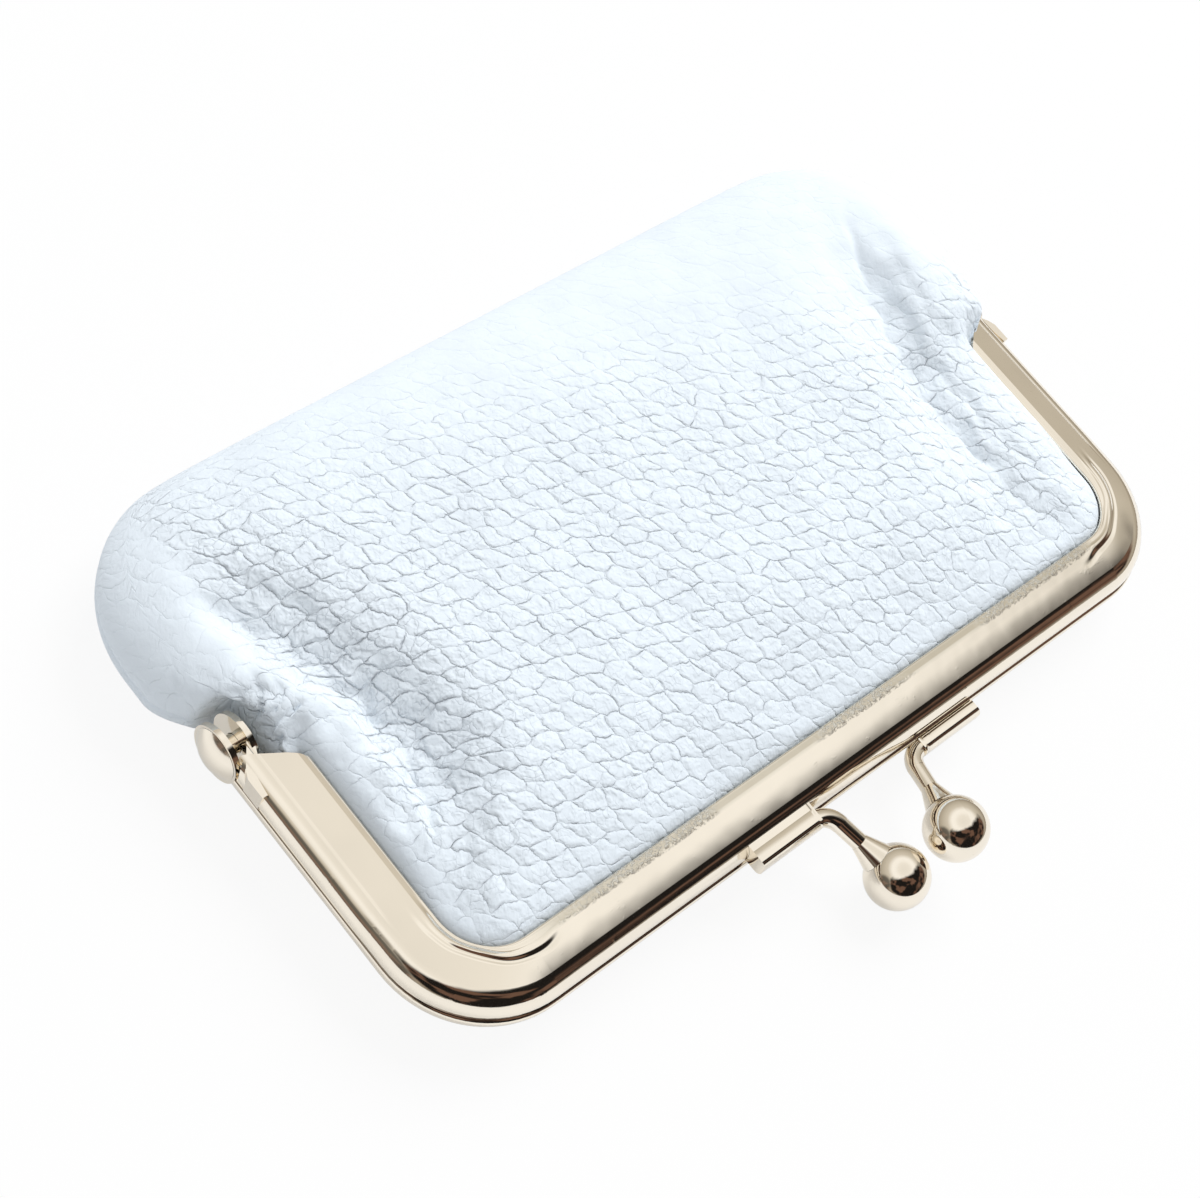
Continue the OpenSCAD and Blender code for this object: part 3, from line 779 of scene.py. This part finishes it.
def foot_round(f, place):
    """Height that makes a clasp arm's foot round over its top, like the rod it is made of."""
    x, y = f.outputs("SeparateXYZ", "X", "Y", values={"Vector": place})
    on_foot = f.step((x - FOOT_X).math("ABSOLUTE"), 8.5, 8.9)
    off = f.clamp((y - FOOT_Y) / FOOT_HALF_W, -1.0, 1.0)
    return 0.0 - off * off * on_foot * ROUNDING


def metal_material(name, colour, shade, polish, framed=False, clasped=False):
    """Pale gold plating with fine scratches, a few scuffs and slight waviness."""
    material, f = new_material(name)
    place = f.place()
    scratches = f.noise(f.vector("MULTIPLY", place, (0.5, 6.0, 6.0)), 1.6, 3.0, 0.65)
    scratch_mask = f.step(scratches, 0.60, 0.72)
    scuffs = f.step(f.noise(place, 0.35, 4.0, 0.7), 0.60, 0.76)
    cloud = f.noise(place, 0.12, 2.0)
    base = f.blend(f.step(cloud, 0.3, 0.7), rgb(colour), tinted(colour, 0.965))
    base = f.blend(scuffs * scratch_mask * 0.6, base, rgb(shade))
    rough = polish + scuffs * 0.05 + scratch_mask * scuffs * 0.12 + cloud * 0.02
    height = scratches * scuffs * 0.4 + f.noise(place, 0.35, 1.0) * 0.7
    if framed:
        marks, strip, specks = frame_marks(f, place)
        worn = strip * specks
        height = height + marks + worn * 0.8
        # Painted reflection: the bar's inner bevel strip is tinted darker and duller, standing in
        # for what it mirrors.
        base = f.blend(strip * 0.45, base, rgb(STRIP_PAINTED_REFLECTION))
        base = f.blend(worn * 0.8, base, rgb(BRIGHT_SPECKS))
        rough = rough + worn * 0.22
    if clasped:
        height = height + foot_round(f, place)
    f.surface({"Base Color": base, "Roughness": rough, "Normal": f.bump(height, METAL_BUMP),
               "Metallic": 1.0})
    return material


def woven_material(name, colour, shade, pitch):
    """Plain weave whose threads cross at pitch millimetres, with painted shade between them."""
    material, f = new_material(name)
    place = f.place()
    wave = {"Vector": place, "Scale": BAND_SCALE / pitch, "Distortion": 0.4}
    warp_threads = f.node("TexWave", wave, output="Fac", bands_direction="X")
    weft_threads = f.node("TexWave", wave, output="Fac", bands_direction="Y")
    checks = f.node("TexChecker", {"Vector": place, "Scale": 1.0 / pitch}, output="Fac")
    weave = warp_threads * checks + weft_threads * (1.0 - checks)
    fuzz = f.noise(place, 6.0, 3.0)
    # Painted shade: the cloth is darker between the threads, where the weave dips.
    base = f.blend(weave * 0.6 + fuzz * 0.3, rgb(shade), rgb(colour))
    f.surface({"Base Color": base, "Roughness": 0.75 + fuzz * 0.2,
               "Normal": f.bump(weave + fuzz * 0.3, 0.08), "Sheen Weight": 0.15})
    return material


def paper_material(name, colour, shade):
    """Twisted paper with fibres along the frame's bar, and painted shade between them."""
    material, f = new_material(name)
    fibres = f.noise(f.vector("MULTIPLY", f.place(), (1.0, 3.0, 3.0)), 2.5, 4.0)
    # Painted shade: the paper is darker between its fibres, where the bump dips.
    f.surface({"Base Color": f.blend(fibres, rgb(shade), rgb(colour)),
               "Roughness": 0.8 + fibres * 0.15, "Normal": f.bump(fibres, 0.06)})
    return material


def thread_material(name, colour):
    """Thread with a fine uneven fuzz."""
    material, f = new_material(name)
    fibres = f.noise(f.vector("MULTIPLY", f.place(), (4.0, 4.0, 4.0)), 2.0, 3.0)
    f.surface({"Base Color": f.blend(fibres, tinted(colour, 0.8), rgb(colour)),
               "Roughness": 0.6 + fibres * 0.2, "Normal": f.bump(fibres, 0.03),
               "Sheen Weight": 0.2})
    return material


def length_setting(name, description, default, low, high):
    """A length in metres that can be set in the sidebar."""
    return bpy.props.FloatProperty(name=name, description=description, default=default,
                                   min=low, max=high, unit="LENGTH")


def colour_setting(name, description, default):
    return bpy.props.FloatVectorProperty(name=name, description=description, subtype="COLOR",
                                         default=default, min=0.0, max=1.0)


class PurseSizes(bpy.types.PropertyGroup):
    """Sizes of the purse's soft parts, in metres."""

    front_height: length_setting(
        "Front height", "Height of the front panel above the parting plane",
        0.0075, 0.0055, 0.009)
    valley_depth: length_setting(
        "Valley depth", "Depth of the two dents between the middle and the rolls",
        0.0019, 0.0, 0.0024)
    leather_thickness: length_setting(
        "Leather thickness", "Thickness of the leather", 0.00095, 0.0006, 0.0011)
    grain_size: length_setting(
        "Grain size", "Width of one pebble of the grain", 0.0021, 0.001, 0.006)
    weave_pitch: length_setting(
        "Weave pitch", "Distance between two threads of the lining", 0.0004, 0.00015, 0.001)


class PurseColours(bpy.types.PropertyGroup):
    """Colours of the purse's finishes."""

    leather: colour_setting("Leather", "Leather's colour", (0.80, 0.872, 0.94))
    # Painted shade: the darker, bluer colour painted into the grain's creases.
    leather_painted_shade: colour_setting(
        "Leather shade", "Colour in the grain's creases", (0.42, 0.50, 0.60))
    plating: colour_setting(
        "Plating", "Colour of the pale gold plating", (0.93, 0.86, 0.745))
    plating_shade: colour_setting(
        "Plating shade", "Colour in the plating's scratches", (0.60, 0.52, 0.40))
    lining: colour_setting("Lining", "Lining cloth's colour", (0.60, 0.68, 0.78))
    # Painted shade: the darker colour painted between the lining's threads.
    lining_painted_shade: colour_setting(
        "Lining shade", "Colour between the lining's threads", (0.42, 0.49, 0.58))
    paper: colour_setting("Paper", "Paper cord's colour", (0.72, 0.64, 0.50))
    # Painted shade: the darker colour painted between the paper's fibres.
    paper_painted_shade: colour_setting(
        "Paper shade", "Colour between the paper's fibres", (0.5, 0.43, 0.32))
    thread: colour_setting("Thread", "Seam thread's colour", (0.82, 0.87, 0.93))


def store_grain(piece):
    """Strong grain in the middle, the left valley and the gathers, and smoother elsewhere."""
    p = read_corners(piece) / MM
    x, y = p[:, 0], p[:, 1]
    rolls = faded(np.abs(x), *ROLL_FADE)
    lip = mixed(0.5 + 0.5 * ease(inside_lip(x, y) / 5.0), 1.0, ease((y + 6.0) / 8.0))
    far = faded(y + 0.25 * x, *FAR_FADE)
    d, along = line_distance(x, y, LEFT_VALLEY)
    beside = np.exp(-((d - 3.0) / 6.0) ** 2) * (x > -46) * ease((1 - along) / 0.4)
    ear = np.exp(-(((np.abs(x) - 48.5) ** 2 + (y + 0.5) ** 2) / 18.0))
    crest, _ = line_distance(x, y, LEFT_CREST)
    stretched = 1.0 - CREST_FADE * np.exp(-((crest / CREST_WIDTH) ** 2))
    grain = rolls * (lip * far + VALLEY_GRAIN * beside) * stretched + GATHER_GRAIN * ear
    attribute = piece.data.attributes.new("grain", "FLOAT", "POINT")
    attribute.data.foreach_set("value", grain.astype(np.float32))


def panel_shape(sizes, hinges, turned_over):
    """Shape of the front panel, or of the back one, which the table keeps flat."""
    def front(s, t):
        relief = partial(front_relief, depth=sizes.valley_depth / MM)
        return panel_points(s, t, sizes.front_height / MM, LEG_PUFF, FRONT_RISE, relief, hinges)

    def back(s, t):
        x, y, z = panel_points(s, t, PARTING + BACK_PLUMP, 0.0, BACK_RISE, back_relief, hinges)
        return x, y, np.minimum(z, PARTING)

    return back if turned_over else front


def dress_panel(name, sizes, colours, turned_over, grid):
    hinges = (SEAM_HINGE, SEAM_HINGE) if turned_over else (LEFT_ROLL, RIGHT_ROLL)
    piece = grid_piece(name, grid, panel_shape(sizes, hinges, turned_over), turned_over)
    store_grain(piece)
    thicken(piece, sizes.leather_thickness)
    piece.data.materials.append(leather_material(name, colours, sizes))
    return piece


def dress_lining(name, sizes, colours, turned_over):
    shape = panel_shape(sizes, (LINING_HINGE, LINING_HINGE), turned_over)
    piece = grid_piece(name, LINING_GRID, shape, turned_over)
    p = read_corners(piece) / MM
    in_pouch = p[:, 1] >= LIP_END_Y
    room = np.where(in_pouch, 1.0, ease(inside_lip(p[:, 0], p[:, 1]) / 3.0))
    depth = (LINING_GAP + LOOSE_GAP * room) * MM
    move_corners(piece, read_corners(piece) - read_corners(piece, "normal") * depth[:, None])
    thicken(piece, LINING_T * MM)
    pitch = sizes.weave_pitch / MM
    cloth = woven_material(name, colours.lining, colours.lining_painted_shade, pitch)
    piece.data.materials.append(cloth)
    return piece


def bend_with_front(piece):
    """Bakes the piece's placement into its mesh; the narrow V in which the front opens along the
    hinge line is worked out but not applied.
    """
    start, end = [(0, y * MM, z * MM) for y, z in (BEND_START, BEND_END)]
    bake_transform(piece)
    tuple(start)
    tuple(end)


class PurseStep:
    """A step, which makes its pieces from the purse's sizes and colours."""

    def execute(self, context):
        self.make(context.scene.purse_sizes, context.scene.purse_colours)
        return {"FINISHED"}


class PURSE_OT_back_leather(PurseStep, bpy.types.Operator):
    """Makes the back leather panel, which lies on the table"""
    bl_idname = "purse.back_leather"
    bl_label = "Back Leather"

    def make(self, sizes, colours):
        piece = dress_panel("back_leather", sizes, colours, True, BACK_GRID)
        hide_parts("back_leather_panel")
        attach(piece, "back_half")


class PURSE_OT_front_leather(PurseStep, bpy.types.Operator):
    """Makes the front leather panel with its valleys, side rolls and gathers"""
    bl_idname = "purse.front_leather"
    bl_label = "Front Leather"

    def make(self, sizes, colours):
        piece = dress_panel("front_leather", sizes, colours, False, FRONT_GRID)
        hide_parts("front_leather_pouch", "front_leather_fold", "front_leather_mouth")
        bend_with_front(piece)


class PURSE_OT_linings(PurseStep, bpy.types.Operator):
    """Makes the two lining panels"""
    bl_idname = "purse.linings"
    bl_label = "Linings"

    def make(self, sizes, colours):
        back = dress_lining("back_lining_cloth", sizes, colours, True)
        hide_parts("back_lining")
        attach(back, "back_half")
        front = dress_lining("front_lining_cloth", sizes, colours, False)
        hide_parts("front_lining")
        bend_with_front(front)


class PURSE_OT_metal(PurseStep, bpy.types.Operator):
    """Gives the frame, rivets and clasp their plated finishes"""
    bl_idname = "purse.metal"
    bl_label = "Metal Finishes"

    def make(self, sizes, colours):
        groups = ((FRAME_NODES, "frame_plating", 0.07), (RIVET_NODES, "rivet_plating", 0.12),
                  (CLASP_NODES, "clasp_plating", 0.06))
        for nodes, name, polish in groups:
            material = metal_material(name, colours.plating, colours.plating_shade, polish,
                                      nodes is FRAME_NODES, nodes is CLASP_NODES)
            for node in nodes:
                solid = frame["nodes"][node]
                solid.data.materials.clear()
                solid.data.materials.append(material)


def close_ends(piece):
    """Joins a rolled-up grid's long edges and closes its two ends."""
    bpy.ops.object.mode_set(mode="EDIT")
    bpy.ops.mesh.select_all(action="SELECT")
    bpy.ops.mesh.remove_doubles(threshold=WELD * MM)
    bpy.ops.mesh.select_all(action="DESELECT")
    bpy.ops.mesh.select_non_manifold()
    bpy.ops.mesh.edge_face_add()
    bpy.ops.mesh.select_all(action="SELECT")
    bpy.ops.mesh.normals_make_consistent(inside=False)
    bpy.ops.object.mode_set(mode="OBJECT")
    smooth(piece, 60)


def tube(name, path, radius, strands, pitch, around=16):
    """A closed tube along a path in millimetres, ridged like strands twisted at that pitch."""
    path = np.asarray(path, float)
    length = along_path(path)

    def on_path(at):
        return np.stack([np.interp(at, length, path[:, k]) for k in range(3)], axis=1)

    def shape(s, t):
        at = t * length[-1]
        ahead = on_path(np.minimum(at + TUBE_REACH, length[-1]))
        tangent = ahead - on_path(np.maximum(at - TUBE_REACH, 0))
        tangent /= np.linalg.norm(tangent, axis=1)[:, None]
        side = np.stack([-tangent[:, 1], tangent[:, 0], np.zeros(len(at))], axis=1)
        side /= np.linalg.norm(side, axis=1)[:, None]
        up = np.cross(tangent, side)
        angle = math.pi * s
        ridge = np.abs(np.cos(0.5 * strands * (angle - 2 * math.pi * at / pitch)))
        end = np.sqrt(np.clip(np.minimum(at, length[-1] - at) / radius, 0.02, 1))
        r = radius * (0.84 + 0.16 * ridge) * end
        out = side * np.cos(angle)[:, None] + up * np.sin(angle)[:, None]
        return (on_path(at) + r[:, None] * out).T

    rows = max(6, int(length[-1] / TUBE_STEP))
    piece = grid_piece(name, (around, rows), shape)
    close_ends(piece)
    return piece


def channel_path(sign):
    """Middle line of a paper cord, down one leg, round the bar and up the other leg."""
    turn_r = CORNER_R - CORD_U
    shift = BACK_CORD_SHIFT if sign < 0 else 0.0
    leg = [(HALF_W - CORD_U, y) for y in np.linspace(CORD_END_Y, CORNER_Y, 24)]
    bend = [(CORNER_X + turn_r * math.cos(a), CORNER_Y - turn_r * math.sin(a))
            for a in np.linspace(0, math.pi / 2, 16)[1:]]
    right = [(x, y - shift, sign * CORD_Z) for x, y in leg + bend]
    return [(-x, y, z) for x, y, z in right] + right[::-1]


def seam_path(inset):
    """Points along the pouch's edge at an inset, from the left ear round to the right one."""
    down = np.sin(np.linspace(0, math.pi / 2, SEAM_POINTS))
    y = POUCH_LEN - (POUCH_LEN - SEAM_START_Y) * (1 - down)
    x = seam_edge(y) - inset
    left = [(-a, b - inset * ease((b - 8.0) / 14.0)) for a, b in zip(x, y)]
    bottom = [(a, POUCH_LEN - inset) for a in np.linspace(-x[-1], x[-1], SEAM_POINTS)[1:-1]]
    right = [(-a, b) for a, b in left[::-1]]
    return np.array(left + bottom + right)


def joined(name, pieces):
    """One piece made of all the given ones."""
    select_only(*pieces)
    bpy.ops.object.join()
    pieces[0].name = name
    pieces[0].data.name = name
    return pieces[0]


def stitches(name, inset, radius):
    """Stitches one after another along the seam, all copied from one twisted run of thread."""
    along = np.linspace(-0.5, 0.5, 7)
    arch = np.stack([along * STITCH, 0 * along, THREAD_BOW * np.cos(3 * along)], axis=1)
    first = tube(name, arch, radius, THREAD_STRANDS, THREAD_PITCH, around=8)
    first.data.transform(Matrix.Translation((0, 0, -PARTING * MM)))
    path = seam_path(inset)
    length = along_path(path)
    count = int(length[-1] / (STITCH + STITCH_GAP))
    copies = []
    for i in range(count):
        ends = (i + 0.5) / count * length[-1] + np.array([-0.5, 0.5]) * STITCH
        x, y = (np.interp(ends, length, path[:, k]) for k in (0, 1))
        turn = Matrix.Rotation(math.atan2(y[1] - y[0], x[1] - x[0]), 4, "Z")
        place = Matrix.Translation((x.mean() * MM, y.mean() * MM, PARTING * MM))
        copy = first.copy()
        copy.data = first.data.copy()
        copy.data.transform(place @ turn)
        bpy.context.collection.objects.link(copy)
        copies.append(copy)
    bpy.data.objects.remove(first)
    return joined(name, copies)


class PURSE_OT_cords(PurseStep, bpy.types.Operator):
    """Makes the twisted paper cords that hold the leather in the frame"""
    bl_idname = "purse.cords"
    bl_label = "Paper Cords"

    def make(self, sizes, colours):
        paper = paper_material("twisted_paper", colours.paper, colours.paper_painted_shade)
        for side, sign in (("back", -1), ("front", 1)):
            piece = tube(side + "_twisted_paper", channel_path(sign), CORD_R, CORD_STRANDS,
                         CORD_PITCH)
            piece.data.materials.append(paper)
            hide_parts(side + "_paper_cord")
            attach(piece, side + "_half")


class PURSE_OT_threads(PurseStep, bpy.types.Operator):
    """Makes the stitches that close the leather and the lining"""
    bl_idname = "purse.threads"
    bl_label = "Stitches"

    def make(self, sizes, colours):
        thread = thread_material("twisted_thread", colours.thread)
        seams = (("leather_seam_stitches", "seam_thread", LEATHER_SEAM_INSET, LEATHER_THREAD_R),
                 ("lining_seam_stitches", "lining_thread", LINING_SEAM_INSET, LINING_THREAD_R))
        for name, node, inset, radius in seams:
            piece = stitches(name, inset, radius)
            piece.data.materials.append(thread)
            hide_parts(node)
            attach(piece, "back_half")


def add_lamp():
    """A rectangular lamp that shines at the part and doesn't mirror in the metal."""
    bpy.ops.object.light_add(type="AREA", location=LAMP_PLACE)
    lamp = bpy.context.object
    lamp.name = "key_lamp"
    lamp.data.shape = "RECTANGLE"
    lamp.data.size, lamp.data.size_y = LAMP_SIZE
    lamp.data.energy = LAMP_POWER
    lamp.visible_glossy = False
    lamp.rotation_euler = Vector(LAMP_PLACE).to_track_quat("Z", "Y").to_euler()


def add_floor():
    """Pale floor, whose shadow the camera sees only faintly."""
    bpy.ops.mesh.primitive_plane_add(size=6.0, location=(0, 0, 0))
    floor = bpy.context.object
    floor.name = "floor"
    floor.data.transform(Matrix.Translation((0, 0, -FLOOR_GAP * MM)))
    material, f = new_material("pale_floor")
    seen, glossy, through = f.outputs("LightPath", *RAYS)
    burnt_out = (seen * 0.9 + glossy * 0.4 + through * 0.9).math("MINIMUM", 1.0)
    cloud = f.noise(f.place(), 0.004, 2.0)
    base = f.blend(cloud, (0.86, 0.865, 0.87, 1.0), (0.89, 0.89, 0.89, 1.0))
    shader = f.node("BsdfPrincipled", {"Base Color": base, "Roughness": 0.9}, output="BSDF")
    glow = f.node("Emission", {"Color": WHITE, "Strength": 1.0}, output="Emission")
    f.node("OutputMaterial", {"Surface": f.node("MixShader", {0: burnt_out, 1: shader, 2: glow})})
    floor.data.materials.append(material)


def mirrored_room(f):
    """What the metal mirrors: a pale sky with a dark zone in front and a dim one beside."""
    direction = f.node("TexCoord", output="Generated")
    height = f.node("SeparateXYZ", {"Vector": direction}, output="Z")
    sky = f.node("ValToRGB", {"Fac": height}, output="Color", stops=SKY)
    from_dark = f.vector("MULTIPLY", f.vector("SUBTRACT", direction, DARK_PLACE), DARK_STRETCH)
    away = f.vector("LENGTH", from_dark, output="Value")
    ragged = away + f.noise(direction, 3.0, 2.0) * 0.16 - 0.08
    dark = 1.0 - f.step(ragged, *DARK_EDGE)
    aside = f.vector("LENGTH", f.vector("SUBTRACT", direction, DIM_PLACE), output="Value")
    dim = (1.0 - f.step(aside, *DIM_EDGE)) * DIM_SHARE
    warm = f.step(f.noise(direction, 2.2, 2.0), 0.52, 0.62)
    furniture = f.blend(warm, rgb(ROOM_BLACK), rgb(ROOM_BROWN))
    return f.blend(dark.math("MAXIMUM", dim), sky, furniture)


def light_world():
    """Soft light from all round, a mirrored room for the metal and white for the camera."""
    world = bpy.data.worlds.new("studio")
    world.use_nodes = True
    bpy.context.scene.world = world
    f = Finish(world.node_tree)
    seen, glossy, through = f.outputs("LightPath", *RAYS)
    studio = f.node("Background", {"Color": mirrored_room(f), "Strength": 1.0})
    soft = f.node("Background", {"Color": WHITE, "Strength": AMBIENT})
    white = f.node("Background", {"Color": WHITE, "Strength": 1.0})
    lit = f.node("MixShader", {0: glossy, 1: soft, 2: studio})
    shown = f.node("MixShader", {0: (seen + through).math("MINIMUM", 1.0), 1: lit, 2: white})
    f.node("OutputWorld", {"Surface": shown})


def add_camera():
    """The photograph's camera."""
    bpy.ops.object.camera_add(location=CAMERA_PLACE)
    camera = bpy.context.object
    camera.name = "photo_camera"
    camera.rotation_euler = Matrix(CAMERA_AXES).to_euler()
    camera.data.lens = CAMERA_LENS
    camera.data.sensor_width = CAMERA_SENSOR
    camera.data.clip_start = 0.01
    bpy.context.scene.camera = camera


class PURSE_OT_stage(PurseStep, bpy.types.Operator):
    """Sets the pale floor, the soft light and the photograph's camera"""
    bl_idname = "purse.stage"
    bl_label = "Stage"

    def make(self, sizes, colours):
        add_floor()
        light_world()
        add_lamp()
        add_camera()
        bpy.context.scene.view_settings.view_transform = "Standard"


class PURSE_PT_panel(bpy.types.Panel):
    """Sidebar panel that lists the purse's sizes, colours and steps"""
    bl_label = "Kiss Lock Purse"
    bl_idname = "PURSE_PT_panel"
    bl_space_type = "VIEW_3D"
    bl_region_type = "UI"
    bl_category = "Purse"

    def draw(self, context):
        for group in (context.scene.purse_sizes, context.scene.purse_colours):
            for key in group.__annotations__:
                self.layout.prop(group, key)
        for operator in OPERATORS:
            self.layout.operator(operator.bl_idname)


OPERATORS = (PURSE_OT_stage, PURSE_OT_metal, PURSE_OT_cords, PURSE_OT_back_leather,
             PURSE_OT_front_leather, PURSE_OT_linings, PURSE_OT_threads)
CLASSES = (PurseSizes, PurseColours, *OPERATORS, PURSE_PT_panel)


def register():
    for item in CLASSES:
        bpy.utils.register_class(item)
    bpy.types.Scene.purse_sizes = bpy.props.PointerProperty(type=PurseSizes)
    bpy.types.Scene.purse_colours = bpy.props.PointerProperty(type=PurseColours)


def unregister():
    del bpy.types.Scene.purse_colours
    del bpy.types.Scene.purse_sizes
    for item in reversed(CLASSES):
        bpy.utils.unregister_class(item)


def main():
    register()
    bpy.ops.purse.stage()
    bpy.ops.purse.metal()
    bpy.ops.purse.cords()
    bpy.ops.purse.back_leather()
    bpy.ops.purse.front_leather()
    bpy.ops.purse.linings()
    bpy.ops.purse.threads()


if __name__ == "__main__":
    main()
